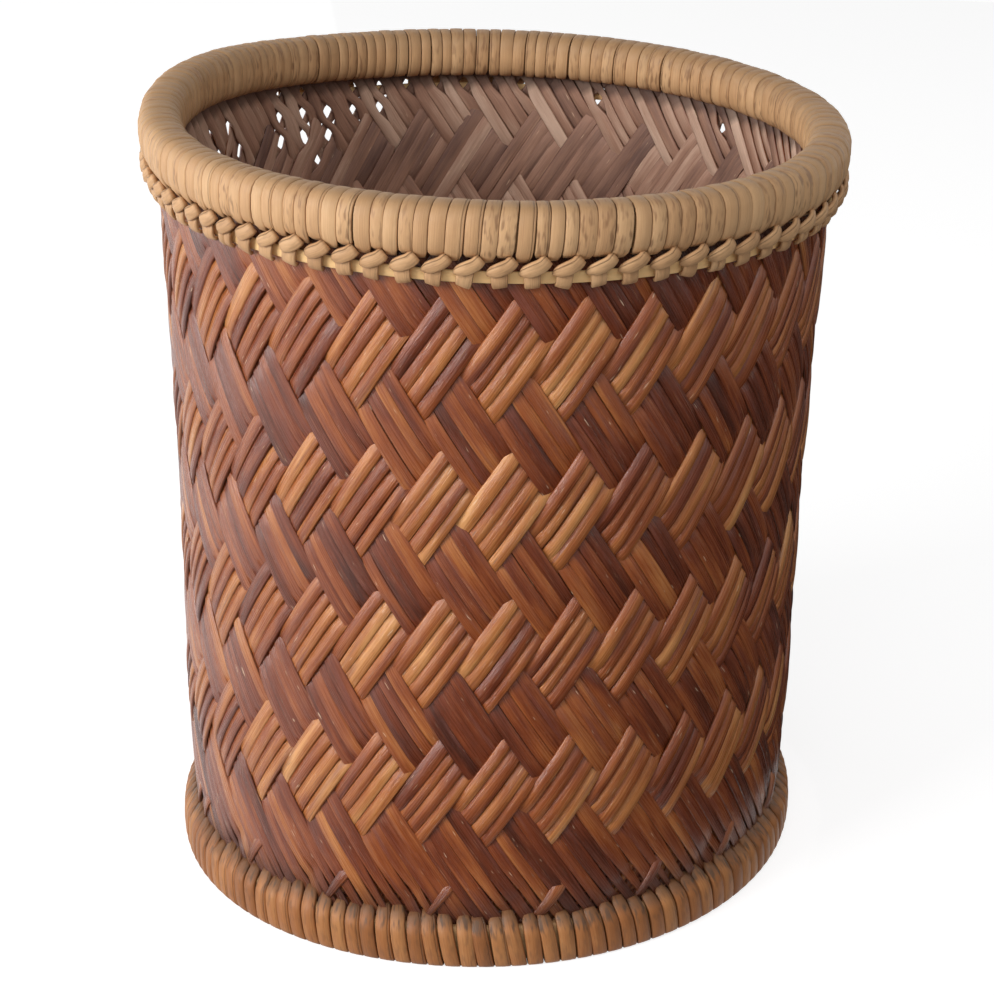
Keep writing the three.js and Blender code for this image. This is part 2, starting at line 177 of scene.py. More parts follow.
def cane_blank(sides, steps):
    """A straight rod of unit size along Z, with a ring of points at each step."""
    rod = bmesh.new()
    bmesh.ops.create_cone(rod, cap_ends=True, segments=sides, radius1=1, radius2=1, depth=1)
    lengthwise = [e for e in rod.edges if abs(e.verts[0].co.z - e.verts[1].co.z) > 0.5]
    bmesh.ops.subdivide_edges(rod, edges=lengthwise, cuts=steps - 1)
    blank = bpy.data.meshes.new("cane_blank")
    rod.to_mesh(blank)
    rod.free()
    return blank


# A cane's inner side is nearly flat, so that it is at its full depth before its middle. Every
# cane has its own number, by which the patterns in its finish differ.
BACK_FLATNESS = 1.42
ON_CENTRE_LINE = 1e-4
CANE_NUMBERS = 50


def canework():
    """An empty piece of canework, whose points know where they lie on their cane."""
    work = bmesh.new()
    work.verts.layers.float_vector.new("run")
    work.verts.layers.float_vector.new("tint")
    return work


def lay_cane(work, blank, rings, tone, stain_and_shade=0.0, squareness=0.6, seed=None):
    """Lays one length of cane along its rings. Each ring has its middle, the ways across and out,
    half the width, the thickness, and the crown, which makes the outside round. The stain and
    shade is one value, or one for each ring; it is a real stain, and on the wall's strips and the
    foot's turns it also holds painted shade. The seed is the cane's own number."""
    first = len(work.verts)
    work.from_mesh(blank)
    work.verts.ensure_lookup_table()
    run = work.verts.layers.float_vector["run"]
    tint = work.verts.layers.float_vector["tint"]
    seed = random.uniform(0, CANE_NUMBERS) if seed is None else seed
    lengths = [0.0]
    for before, after in zip(rings, rings[1:]):
        lengths.append(lengths[-1] + (after[0] - before[0]).length)
    steps = len(rings) - 1
    for point in work.verts[first:]:
        step = round((point.co.z + 0.5) * steps)
        middle, across_way, out_way, half_width, thickness, crown = rings[step]
        across = math.copysign(abs(point.co.x) ** squareness, point.co.x)
        if abs(point.co.x) < ON_CENTRE_LINE:
            across = 0.0
        face = point.co.y
        if face > 0:
            out = (thickness / 2 + crown) * face ** squareness
        else:
            out = -thickness / 2 * min(1, abs(face) * BACK_FLATNESS)
        place = middle + across_way * (across * half_width) + out_way * out
        point[run] = Vector((lengths[step], across, seed))
        point[tint] = Vector((tone, face, stain_and_shade[step] if isinstance(stain_and_shade, list) else stain_and_shade))
        point.co = lean(place)


FLAT_FACE_WEIGHT = 80


def finished_piece(name, work, material, node, flat=True):
    """Turns canework into a piece that stands for its CAD node. Flat cane catches the light
    evenly across its width, and turns away only at its edges."""
    bmesh.ops.recalc_face_normals(work, faces=work.faces)
    mesh = bpy.data.meshes.new(name)
    work.to_mesh(mesh)
    work.free()
    mesh.shade_smooth()
    piece = bpy.data.objects.new(name, mesh)
    bpy.context.scene.collection.objects.link(piece)
    mesh.materials.append(material)
    if flat:
        piece.modifiers.new("flat_faces", "WEIGHTED_NORMAL").weight = FLAT_FACE_WEIGHT
    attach(piece, "root")
    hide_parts(node)


class Wire:
    """A socket in a material. Python's operators on it add Math nodes."""

    def __init__(self, tree, socket=None):
        self.tree = tree
        self.socket = socket

    def node(self, kind, inputs, output=0, **settings):
        """Adds one node: first its settings, then the values or links of its sockets."""
        made = self.tree.nodes.new("ShaderNode" + kind)
        stops = settings.pop("stops", None)
        for name, value in settings.items():
            setattr(made, name, value)
        if stops:
            ramp = made.color_ramp
            for place, colour in stops[1:-1]:
                ramp.elements.new(place)
            for element, (place, colour) in zip(ramp.elements, stops):
                element.position = place
                element.color = colour
        for name, value in inputs.items():
            if isinstance(value, Wire):
                self.tree.links.new(value.socket, made.inputs[name])
            else:
                made.inputs[name].default_value = value
        return Wire(self.tree, made.outputs[output] if made.outputs else None)

    def math(self, operation, *values):
        return self.node("Math", dict(enumerate(values)), operation=operation)

    def __add__(self, other):
        return self.math("ADD", self, other)

    def __sub__(self, other):
        return self.math("SUBTRACT", self, other)

    def __rsub__(self, other):
        return self.math("SUBTRACT", other, self)

    def __mul__(self, other):
        return self.math("MULTIPLY", self, other)

    __radd__ = __add__
    __rmul__ = __mul__

    def __abs__(self):
        return self.math("ABSOLUTE", self)

    def parts(self):
        """The X, Y and Z of a vector."""
        return [self.node("SeparateXYZ", {0: self}, output=k) for k in range(3)]

    def between(self, low, high):
        """Rises smoothly from 0 at low to 1 at high."""
        inputs = {"Value": self, "From Min": low, "From Max": high}
        return self.node("MapRange", inputs, interpolation_type="SMOOTHSTEP")

    def blend(self, low, high):
        """The colour low where this is 0 and the colour high where it is 1."""
        return self.node("Mix", {0: self, 6: low, 7: high}, output=2, data_type="RGBA")

    def ramp(self, *stops):
        return self.node("ValToRGB", {0: self}, stops=stops)

    def noise(self, x, y, z, detail=2.0, roughness=0.5):
        """A noise over three wires or numbers, each of which counts its own waves."""
        place = self.node("CombineXYZ", {0: x, 1: y, 2: z})
        inputs = {"Vector": place, "Scale": 1.0, "Detail": detail, "Roughness": roughness}
        return self.node("TexNoise", inputs)


def paint(red, green, blue):
    """A colour given as it looks on a screen, from 0 to 255, as the shader wants it."""
    linear = [((c / 255 + 0.055) / 1.055) ** 2.4 for c in (red, green, blue)]
    return (*linear, 1.0)


def new_material(name):
    material = bpy.data.materials.new(name)
    material.use_nodes = True
    material.node_tree.nodes.clear()
    return material, Wire(material.node_tree)


def finish_surface(wire, colour, roughness, bump, depth, gloss):
    """Sends the wires to a shader. A number goes straight to the shader's own socket."""
    normal = wire.node("Bump", {"Strength": 1.0, "Distance": depth, "Height": bump})
    sockets = {
        "Base Color": colour,
        "Roughness": roughness,
        "Normal": normal,
        "Specular IOR Level": gloss,
    }
    shader = wire.node("BsdfPrincipled", sockets)
    wire.node("OutputMaterial", {"Surface": shader})


GRAIN_DEPTH = 0.0003
STRIP_GLOSS = 0.5


def cane_wires(wire):
    """What each point knows of its cane: how far along and across it lies and the cane's own
    number, then the cane's tone, which side it is on, and how stained it is, a value that on some
    canes also holds painted shade."""
    run = wire.node("Attribute", {}, output=1, attribute_name="run").parts()
    tint = wire.node("Attribute", {}, output=1, attribute_name="tint").parts()
    return (*run, *tint)


def strip_finish():
    """Smoked split cane: shiny skin outside, from straw to purple-brown, and dull pith inside.
    Each noise counts its waves in a metre along the strip, and in half the strip's width."""
    material, wire = new_material("brown_strips")
    along, across, seed, tone, face, stain_and_shade = cane_wires(wire)
    fibres = wire.noise(along * 30, across * 5, seed * 7, detail=4.0, roughness=0.65)
    blotches = wire.noise(along * 34, across * 0.5, seed * 3, detail=3.0)
    threads = wire.noise(along * 70, across * 14, seed * 5)
    marks = wire.noise(along * 150, across * 3.5, seed * 9, detail=1.0)
    smoke = wire.noise(along * 22, across * 0.8, seed * 13)
    depth_of_tone = tone + (fibres - 0.5) * 0.55 + (blotches - 0.5) * 0.95
    skin = depth_of_tone.ramp(
        (0.0, paint(76, 34, 20)),
        (0.3, paint(118, 54, 27)),
        (0.52, paint(152, 80, 39)),
        (0.76, paint(184, 114, 60)),
        (1.0, paint(216, 154, 94)),
    )
    smoked = smoke.between(0.58, 0.7) * 0.5
    skin = smoked.blend(skin, paint(124, 70, 58))
    pith = depth_of_tone.ramp(
        (0.0, paint(98, 70, 62)),
        (0.5, paint(172, 130, 108)),
        (1.0, paint(226, 192, 168)),
    )
    outside = face.between(-0.35, 0.1)
    # Painted shade: each strip darkens towards its edges, where shade falls between neighbouring
    # strips.
    edge = abs(across).between(0.84, 1.0) * 0.45
    scratch = threads.between(0.66, 0.76) * 0.4
    # Small pale flecks: partly pale marks in the skin, partly painted glints.
    fleck_and_glint = marks.between(0.74, 0.8) * 0.7
    spot = marks.between(0.25, 0.2) * 0.6
    colour = edge.blend(outside.blend(pith, skin), paint(70, 34, 24))
    colour = scratch.blend(colour, paint(222, 172, 130))
    colour = fleck_and_glint.blend(colour, paint(232, 200, 168))
    colour = spot.blend(colour, paint(110, 96, 82))
    # On the strips the stain value darkens them with dust and painted shade near the foot, and
    # with painted shade just under the rim.
    colour = (stain_and_shade * 0.7).blend(colour, paint(58, 36, 30))
    roughness = outside * -0.32 + 0.6 + (fibres - 0.5) * 0.26
    grain = fibres + threads * 0.4
    finish_surface(wire, colour, roughness, grain, GRAIN_DEPTH, STRIP_GLOSS)
    return material


# Near the foot the strips thin out, and those that climb to the left stay on top, apart from
# every seventh of the others, which lies loose over them. Pairs of heights say where a change
# starts and where it is complete.
FOOT_THINNING = (0.018, 0.044)
FOOT_WIDTHS = {"slash": (0.4, 0.7), "backslash": (0.45, 0.95)}
FOOT_HOLD = (0.012, 0.022)
RIM_HOLD = 0.010
LAST_CROSSING = 0.030
LOOSE_EVERY = 7
LOOSE_HEIGHT = 0.026
LOOSE_REACH = 0.008
LOOSE_LIFT = 1.1
LOOSE_FADE = (0.4, 1.4)

# How unevenly a strip runs: how far, and in how many waves for each crossing, it wanders
# sideways, swells, twists and lifts.
WANDER = 0.00014
WANDER_WAVES = (0.19, 0.083)
SWELL = 0.035
SWELL_WAVES = (0.31, 0.11)
TWIST = math.radians(2.5)
TWIST_WAVES = 0.23
LIFT = 0.00012
LIFT_WAVES = 0.37
CROWN_WHERE_UNDER = 0.35
CROWN_CHANGE = 0.6

# A strip is 5 mm wide, so that light comes through only where four strips draw back from a
# corner that they share, just under the rim. Each row of such pinholes has its level above the
# front block's lower corner, and where round the basket it starts and ends, in degrees.
PINHOLE_HALF_LENGTH = 0.0075
PINHOLE_DEPTH = 0.0019
PINHOLE_SPACING = 4
PINHOLE_CHANCE = 0.9
PINHOLE_SIZES = (0.7, 1.15)
PINHOLE_SIDE = 0.45
PINHOLE_ROWS = (
    (8, 168, 226),
    (6, 196, 228),
    (4, 212, 228),
    (2, 214, 220),
    (6, 238, 248),
    (4, 235, 246),
    (3, 240, 250),
    (7, 157, 161),
    (7, 129, 133),
)


def corners_of_pinholes():
    """The pinholes by their turn, height and size. Two strips cross where level and place,
    counted in crossings, are both even or both odd, so that the corners lie between those."""
    corners = []
    for level, start, end in PINHOLE_ROWS:
        first = round((math.radians(start) - block_corner_turn) / CROSSING_TURN)
        last = round((math.radians(end) - block_corner_turn) / CROSSING_TURN)
        for place in range(first + (first + level + 1) % 2, last + 1, PINHOLE_SPACING):
            if random.random() < PINHOLE_CHANCE:
                corner_turn = block_corner_turn + place * CROSSING_TURN
                corner_height = block_corner_height + level * CROSSING_RISE
                corners.append((corner_turn, corner_height, random.uniform(*PINHOLE_SIZES)))
    return corners


def drawn_back(turn, z, reach, rise_way, half):
    """How far a strip's two edges draw back from a pinhole beside them. The second edge is the
    one to the left."""
    edges = [0.0, 0.0]
    for corner_turn, corner_height, size in pinholes:
        up = corner_height - z
        if abs(up) > PINHOLE_HALF_LENGTH:
            continue
        aside = ((corner_turn - turn + math.pi) % (2 * math.pi) - math.pi) * reach
        along = aside * rise_way[0] + up * rise_way[1]
        across = up * rise_way[0] - aside * rise_way[1]
        share = 1 - (along / PINHOLE_HALF_LENGTH) ** 2
        if share > 0 and abs(abs(across) - half) < half * PINHOLE_SIDE:
            side = 1 if across > 0 else 0
            edges[side] = max(edges[side], PINHOLE_DEPTH * size * share * share)
    return edges


def strip_rings(kind, number, half_width, shift):
    """The rings of one strip, from its foot up: first where it is outside and where inside,
    crossing by crossing, then its path. A slash strip climbs to the right, seen from outside."""
    way = WAYS[kind]
    waves = [random.uniform(0, 2 * math.pi) for k in range(6)]
    foot_width = random.uniform(*FOOT_WIDTHS[kind])
    levels = range(lowest_level - 2, highest_level + 3)
    tops = {}
    for m in levels:
        i, j = (number, number + m) if way > 0 else (number - m, number)
        level_height = block_corner_height + m * CROSSING_RISE
        whole = slash_on_top(i, j + 1) or level_height > LAST_CROSSING + CROSSING_RISE
        slash_top = slash_on_top(i, j) and level_height > LAST_CROSSING and whole
        if i % LOOSE_EVERY == 0 and abs(level_height - LOOSE_HEIGHT) < LOOSE_REACH:
            slash_top = True
        tops[m] = 1 if slash_top == (way > 0) else -1
    rises = {}
    for m in levels:
        near = [tops.get(m + k, tops[m]) for k in range(-2, 3)]
        rises[m] = (near[1] + 4 * near[2] + near[3]) / 6 + FLOAT_BULGE * sum(near) / 5
    rings = []
    for step in range(strip_steps + 1):
        m = lowest_level + step / 2
        rise = (rises[math.floor(m)] + rises[math.ceil(m)]) / 2
        z = block_corner_height + m * CROSSING_RISE
        if way > 0 and number % LOOSE_EVERY == 0:
            fade_start, fade_end = (share * LOOSE_REACH for share in LOOSE_FADE)
            rise += LOOSE_LIFT * (1 - ease(fade_start, fade_end, abs(z - LOOSE_HEIGHT)))
        turn = block_corner_turn + (2 * number + way * m) * CROSSING_TURN
        held = 1 - max(ease(rim_low.z - RIM_HOLD, rim_low.z, z), 1 - ease(*FOOT_HOLD, z)) / 2
        reach = wall_reach(z) - WALL_THICKNESS / 2
        outward = Vector((math.sin(turn), -math.cos(turn), 0))
        sideways = Vector((math.cos(turn), math.sin(turn), 0))
        along = sideways * (way * reach * CROSSING_TURN) + Vector((0, 0, CROSSING_RISE))
        across = along.normalized().cross(outward)
        across.negate()
        wander = sum(math.sin(WANDER_WAVES[k] * m + waves[k]) for k in range(2))
        swell = sum(math.sin(SWELL_WAVES[k] * m + waves[2 + k]) for k in range(2))
        twist = STRIP_TILT[kind] + TWIST * math.sin(TWIST_WAVES * m + waves[4])
        lift = LIFT * math.sin(LIFT_WAVES * m + waves[5])
        middle = round_place(turn, reach + STRIP_SWING * rise * held + lift, z)
        middle += across * (WANDER * wander + shift)
        half = half_width * (1 + SWELL * swell)
        half *= foot_width + (1 - foot_width) * ease(*FOOT_THINNING, z)
        if z > lowest_pinhole:
            rise_way = Vector((way * reach * CROSSING_TURN, CROSSING_RISE)).normalized()
            near, far = drawn_back(turn, z, reach, rise_way, half)
            half -= (near + far) / 2
            middle += across * ((near - far) / 2)
        tilted_across = across * math.cos(twist) + outward * math.sin(twist)
        tilted_out = outward * math.cos(twist) - across * math.sin(twist)
        on_top = ease(-CROWN_CHANGE, CROWN_CHANGE, rise)
        crown = STRIP_CROWN[kind] * held * (CROWN_WHERE_UNDER + (1 - CROWN_WHERE_UNDER) * on_top)
        rings.append((middle, tilted_across, tilted_out, half, STRIP_THICKNESS, crown))
    return rings


block_middle = (BLOCK_STRIPS + BLOCK_LENGTH - 2) / 2
block_corner_turn = FRONT_BLOCK_TURN - block_middle * CROSSING_TURN
block_corner_height = FRONT_BLOCK_HEIGHT - (BLOCK_LENGTH - BLOCK_STRIPS) / 2 * CROSSING_RISE
lowest_level = math.ceil((wall_low.z + STRIP_GRIP - block_corner_height) / CROSSING_RISE)
highest_level = math.floor((wall_high.z - STRIP_GRIP - block_corner_height) / CROSSING_RISE)
strip_steps = 2 * (highest_level - lowest_level)
strip_blank = cane_blank(STRIP_SIDES, strip_steps)
brown_strips = strip_finish()
pinholes = corners_of_pinholes()
lowest_pinhole = min(corner_height for corner_turn, corner_height, size in pinholes)
lowest_pinhole -= PINHOLE_HALF_LENGTH

TONE_SPREAD = 0.06
# The slash strips are paler than the backslash strips: partly their own colour, and partly painted
# light, standing for the light that catches their crowns.
TONES = {
    "slash": ((0.32, 0.15), (0.5, 0.3), (0.64, 0.35), (0.8, 0.2)),
    "backslash": ((0.2, 0.25), (0.34, 0.4), (0.46, 0.25), (0.6, 0.1)),
}


def pick_tone(kind):
    """One strip's place between the darkest and the palest colour."""
    tones, weights = zip(*TONES[kind])
    return random.choices(tones, weights)[0] + random.uniform(-TONE_SPREAD, TONE_SPREAD)


def shared_widths(count, least, most):
    """Uneven widths of neighbours that fill the place of as many even ones, and how far each
    one's middle lies from the even place."""
    widths = [random.uniform(least, most) for k in range(count)]
    widths = [w * count / sum(widths) for w in widths]
    shifts = [sum(widths[:k]) + widths[k] / 2 - (k + 0.5) for k in range(count)]
    return list(zip(widths, shifts))


STRIP_WIDTHS = (0.78, 1.2)
# The wall darkens towards the foot with dust and painted shade, and just under the rim with
# painted shade.
FOOT_DUST_AND_SHADE = (0.016, 0.034)
RIM_SHADE = (0.006, 0.003)


def strip_dust_and_shade(z):
    """The wall is darker at the foot, with dust and painted shade, and nearly black with painted
    shade just under the rim.
    """
    shade_under_rim = ease(rim_low.z - RIM_SHADE[0], rim_low.z - RIM_SHADE[1], z)
    return 1 - ease(*FOOT_DUST_AND_SHADE, z) + shade_under_rim


crossing_width = wall_reach(height / 2) * CROSSING_TURN
strip_pitch = 2 * crossing_width * math.sin(math.atan2(CROSSING_RISE, crossing_width))
for kind in ("slash", "backslash"):
    shares = []
    for block in range(STRIPS // BLOCK_STRIPS):
        shares += shared_widths(BLOCK_STRIPS, *STRIP_WIDTHS)
    for part, letter in enumerate("ab"):
        strips = canework()
        for number in range(part * STRIPS // 2, (part + 1) * STRIPS // 2):
            width, shift = shares[number]
            half_width = (strip_pitch * width - STRIP_GAP[kind]) / 2
            rings = strip_rings(kind, number, half_width, -strip_pitch * shift)
            ring_dust_and_shade = [strip_dust_and_shade(ring[0].z) for ring in rings]
            lay_cane(strips, strip_blank, rings, pick_tone(kind), ring_dust_and_shade, STRIP_SQUARENESS[kind])
        name = f"{kind}_strips_{letter}"
        is_flat = kind == "backslash"
        finished_piece(name, strips, brown_strips, "woven_wall", is_flat)


# Woven floor
# A flat mat of the same strips, cut round, whose edge lies on the inner hoop of the foot.
FLOOR_PITCH = 0.0052
FLOOR_SWING = 0.0006
FLOOR_STRIP_HALF_WIDTH = 0.0028
FLOOR_STRIP_THICKNESS = 0.0008
FLOOR_STRIP_CROWN = 0.0002
FLOOR_STRIP_SIDES = 6
SHORTEST_FLOOR_STRIP = 0.012
FLOOR_TWILL_REPEAT = 4

floor_low, floor_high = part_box("woven_floor")
floor_radius = floor_high.x
floor_middle = (floor_low.z + floor_high.z) / 2
floor_rows = math.floor(floor_radius / FLOOR_PITCH)
floor_mat = canework()
strip_size = (FLOOR_STRIP_HALF_WIDTH, FLOOR_STRIP_THICKNESS, FLOOR_STRIP_CROWN)
for lengthwise in (False, True):
    for row in range(-floor_rows, floor_rows + 1):
        offset = row * FLOOR_PITCH
        far_edge = abs(offset) + FLOOR_STRIP_HALF_WIDTH
        half_length = math.sqrt(max(floor_radius ** 2 - far_edge ** 2, 0))
        if half_length < SHORTEST_FLOOR_STRIP:
            continue
        crossings = max(round(half_length / FLOOR_PITCH), 2)
        mat_blank = cane_blank(FLOOR_STRIP_SIDES, 2 * crossings)
        rings = []
        for step in range(2 * crossings + 1):
            reach = half_length * (step / crossings - 1)
            place_in_twill = reach / FLOOR_PITCH + (row if lengthwise else -row)
            phase = place_in_twill / FLOOR_TWILL_REPEAT * 2 * math.pi
            if not lengthwise:
                phase += math.pi
            z = floor_middle + FLOOR_SWING * math.sin(phase)
            middle = Vector((reach, offset, z)) if lengthwise else Vector((offset, reach, z))
            across = Vector((0, 1, 0)) if lengthwise else Vector((1, 0, 0))
            rings.append((middle, across, Vector((0, 0, 1)), *strip_size))
        lay_cane(floor_mat, mat_blank, rings, pick_tone("slash"))
        bpy.data.meshes.remove(mat_blank)
finished_piece("floor_mat", floor_mat, brown_strips, "woven_floor")


# Hoops and filler cane
# Split reeds that run once round the basket inside the lashings. They grip the wall's edges
# between their flat faces, and the filler cane covers the cut ends of the strips at the rim.
HOOP_STEPS = 152
HOOP_CLOSURE = 0.9998
HOOP_TONE = 0.5
HOOP_SHADES = (paint(130, 96, 62), paint(166, 128, 86), paint(192, 156, 112))
HOOP_STAIN = paint(110, 90, 70)
LINE_DEPTH = 0.0002
CANE_GLOSS = 0.28


def cane_finish(name, shades, stain_and_shade_colour, line_strength, darkening_over_top=0.0):
    """Peeled cane: fine lengthwise lines, soft mottling, and a stain where the tint says so, which
    at the tops of the foot's turns is dust and painted shade. It is darker where it has gone over
    the top of the rim, and some canes have a rib. Its edges and ribs are darkened with painted
    shade."""
    material, wire = new_material(name)
    along, across, seed, tone, face, stain_and_shade = cane_wires(wire)
    lines = wire.noise(along * 30, across * 8, seed * 7, detail=3.0, roughness=0.6)
    mottling = wire.noise(along * 130, across * 1.3, seed * 3)
    patches = wire.noise(along * 210, across * 2.2, seed * 11, detail=1.0)
    depth_of_tone = tone + (lines - 0.5) * line_strength + (mottling - 0.5) * 0.3
    dark, middle, pale = shades
    colour = depth_of_tone.ramp((0.0, dark), (0.5, middle), (1.0, pale))
    if darkening_over_top:
        # Darker where it goes over the top of the rim.
        over_top = along.between(0.012, 0.024) * along.between(0.037, 0.028)
        colour = (over_top * darkening_over_top).blend(colour, paint(150, 116, 80))
    # The stain passes 0.7 only at the tops of the foot's turns, where the colour goes over to the
    # stain colour for dust and painted shade.
    stain_and_shade_through = stain_and_shade.between(0.7, 1.5) * 0.7
    colour = (patches.between(0.48, 0.72) * stain_and_shade).blend(colour, stain_and_shade_colour)
    colour = stain_and_shade_through.blend(colour, stain_and_shade_colour)
    ribbed = seed.math("FRACT", seed).between(0.68, 0.7)
    rib = abs(across - 0.7).between(0.09, 0.02) * ribbed
    edge = abs(across).between(0.9, 1.0)
    shadow = edge.math("MAXIMUM", edge * 0.5, rib * 0.4)
    colour = shadow.blend(colour, paint(104, 66, 40))
    roughness = (lines - 0.5) * 0.2 + 0.5
    relief = lines * 0.8 - rib * 1.2
    finish_surface(wire, colour, roughness, relief, LINE_DEPTH, CANE_GLOSS)
    return material


hoop_reed = cane_finish("hoop_reed", HOOP_SHADES, HOOP_STAIN, 0.5)


def ring_of_cane(node, name, material, tone, half_round):
    """One length of reed that runs round the basket where its CAD node is and meets itself
    at the back."""
    low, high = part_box(node)
    reaches = [math.hypot(v.co.x, v.co.y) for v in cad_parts[node].data.vertices]
    inner, outer = min(reaches), max(reaches)
    thickness = outer - inner
    crown = thickness * half_round
    reed = canework()
    rings = []
    for step in range(HOOP_STEPS + 1):
        turn = math.pi + (step / HOOP_STEPS) * 2 * math.pi * HOOP_CLOSURE
        outward = Vector((math.sin(turn), -math.cos(turn), 0))
        body = thickness - crown
        middle = round_place(turn, inner + body / 2, (low.z + high.z) / 2)
        rings.append((middle, Vector((0, 0, 1)), outward, (high.z - low.z) / 2, body, crown))
    lay_cane(reed, cane_blank(STRIP_SIDES, HOOP_STEPS), rings, tone)
    finished_piece(name, reed, material, node)


for node, half_round in (
    ("rim_outer_hoop", 0.6),
    ("rim_inner_hoop", 0.0),
    ("rim_filler_cane", 0.5),
    ("foot_outer_hoop", 0.6),
    ("foot_inner_hoop", 0.0),
):
    ring_of_cane(node, node + "_reed", hoop_reed, HOOP_TONE, half_round)


# Rim lashing
# One long half-round cane, 152 turns, wound closely over both hoops and the filler cane. Each
# turn goes through the wall under the hoops, and every second one runs on into the plait.
RIM_TURNS = 152
RIM_STEPS = 18
RIM_SIDES = 8
RIM_START = math.radians(-80)
RIM_END = math.radians(260)
RIM_ROUNDNESS = 0.75
RIM_CANE_THICKNESS = 0.0010
RIM_CANE_CROWN = 0.0004
RIM_CANE_SQUARENESS = 0.32
RIM_CANE_FILL = 0.985
RIM_CANE_TONES = (0.38, 0.7)
RIM_CANE_STAINS = (0.0, 0.1, 0.45, 0.7)
RIM_CANE_WIDTHS = (0.82, 1.14)
EVEN_GROUP = 8
# How a turn lies: how far it stands off the others, how far its end droops where it doesn't go
# on into the plait, how much it leans in places and by itself, and how narrow its ends are.
RIM_SLACK = (-0.0002, 0.0001)
RIM_DROOP = (0.0008, 0.0018)
DROOP_ENDS = 0.18
RIM_LEAN = 1.1
RIM_LEAN_CHANGE = 0.5
RIM_LEAN_WAVES = 5
RIM_LEAN_SPREAD = 0.35
TIP_INTO_PLAIT = 0.45
TIP_INTO_WALL = 0.62
TIP_ENDS = 0.12
TIP_INSIDE = 0.7
TIP_INSIDE_STARTS = 0.9
# Where the two turns of a stitch lie, as shares of it, and how unevenly the stitches are spaced.
STITCH_SHARES = (0.24, 0.745)
STITCH_UNEVENNESS = 0.13
CLOSE_STITCHES = math.radians(10)
STRAW_SHADES = (paint(166, 122, 84), paint(204, 160, 116), paint(228, 188, 142))
STRAW_STAIN = paint(134, 96, 66)

rim_reaches = [math.hypot(v.co.x, v.co.y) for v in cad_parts["rim_lashing"].data.vertices]
rim_inner, rim_outer = min(rim_reaches), max(rim_reaches)
rim_middle = (rim_inner + rim_outer) / 2
rim_half = (rim_outer - rim_inner) / 2
rim_centre = (rim_low.z + rim_high.z) / 2
rim_tall = (rim_high.z - rim_low.z) / 2
stitch_turn = 2 * math.pi / (RIM_TURNS / 2)

straw_cane = cane_finish("straw_cane", STRAW_SHADES, STRAW_STAIN, 0.6, darkening_over_top=0.85)
rim_blank = cane_blank(RIM_SIDES, RIM_STEPS)


def powered(value, power):
    """A power of a number that keeps the number's sign."""
    return math.copysign(abs(value) ** power, value)


def rim_rings(turn_middle, share, into_plait):
    """The rings of one turn, from under the rim outside, over its top and down inside."""
    slack = random.uniform(*RIM_SLACK)
    droop = 0.0 if into_plait else random.uniform(*RIM_DROOP)
    skew = RIM_LEAN + RIM_LEAN_CHANGE * math.sin(RIM_LEAN_WAVES * turn_middle + 1)
    skew += random.uniform(-RIM_LEAN_SPREAD, RIM_LEAN_SPREAD)
    tip = TIP_INTO_PLAIT if into_plait else TIP_INTO_WALL
    sink = RIM_CANE_THICKNESS / 2 + RIM_CANE_CROWN - slack
    width = share * RIM_CANE_FILL * math.pi / RIM_TURNS
    rings = []
    for step in range(RIM_STEPS + 1):
        phase = RIM_START + (RIM_END - RIM_START) * step / RIM_STEPS
        across_side, upward = math.cos(phase), math.sin(phase)
        reach = rim_middle + rim_half * powered(across_side, RIM_ROUNDNESS)
        z = rim_centre + rim_tall * powered(upward, RIM_ROUNDNESS)
        steep = powered(across_side, 2 - RIM_ROUNDNESS) / rim_half
        level = powered(upward, 2 - RIM_ROUNDNESS) / rim_tall
        away = Vector((steep, level)).normalized()
        turn = turn_middle + (phase - math.pi / 2) / (RIM_END - RIM_START) * skew * width
        outward = Vector((math.sin(turn), -math.cos(turn), 0))
        sideways = Vector((math.cos(turn), math.sin(turn), 0))
        out_way = outward * away.x + Vector((0, 0, away.y))
        share_along = step / RIM_STEPS
        narrow = tip + (1 - tip) * ease(0.0, TIP_ENDS, share_along)
        narrow *= TIP_INSIDE + (1 - TIP_INSIDE) * ease(1.0, TIP_INSIDE_STARTS, share_along)
        z -= droop * (1 - ease(0.0, DROOP_ENDS, share_along))
        middle = round_place(turn, reach, z) - out_way * sink
        half = width * reach * narrow
        rings.append((middle, sideways, out_way, half, RIM_CANE_THICKNESS, RIM_CANE_CROWN))
    return rings


def stitch_place_round(share):
    """The turn at a share of the way round, in stitches. Those at the left are closer together
    than those at the right."""
    turn = share * stitch_turn
    return turn + STITCH_UNEVENNESS * (math.cos(CLOSE_STITCHES) - math.cos(turn + CLOSE_STITCHES))


rim_work = canework()
shares = []
for group in range(RIM_TURNS // EVEN_GROUP):
    shares += shared_widths(EVEN_GROUP, *RIM_CANE_WIDTHS)
for number, (share, shift) in enumerate(shares):
    stitch, second = divmod(number, 2)
    place = stitch + STITCH_SHARES[second]
    turn = stitch_place_round(place + shift / 2)
    pitch = stitch_place_round(place + 0.25) - stitch_place_round(place - 0.25)
    rings = rim_rings(turn, share * pitch / (stitch_turn / 2), second == 0)
    stain_and_shade = random.choice(RIM_CANE_STAINS)
    tone = random.uniform(*RIM_CANE_TONES)
    lay_cane(rim_work, rim_blank, rings, tone, stain_and_shade, RIM_CANE_SQUARENESS)
finished_piece("rim_turns", rim_work, straw_cane, "rim_lashing")


# Plait runner
# A pale flat reed that lies round the wall just under the rim, held by the plait's loops.
PALE_SHADES = (paint(248, 190, 120), paint(255, 202, 136), paint(255, 216, 156))
PALE_STAIN = paint(222, 162, 100)
PALE_TONE = 0.8
RUNNER_ROUNDNESS = 0.15

pale_reed = cane_finish("pale_reed", PALE_SHADES, PALE_STAIN, 0.3)
ring_of_cane(
    "plait_runner", "plait_runner_reed", pale_reed, PALE_TONE, RUNNER_ROUNDNESS
)


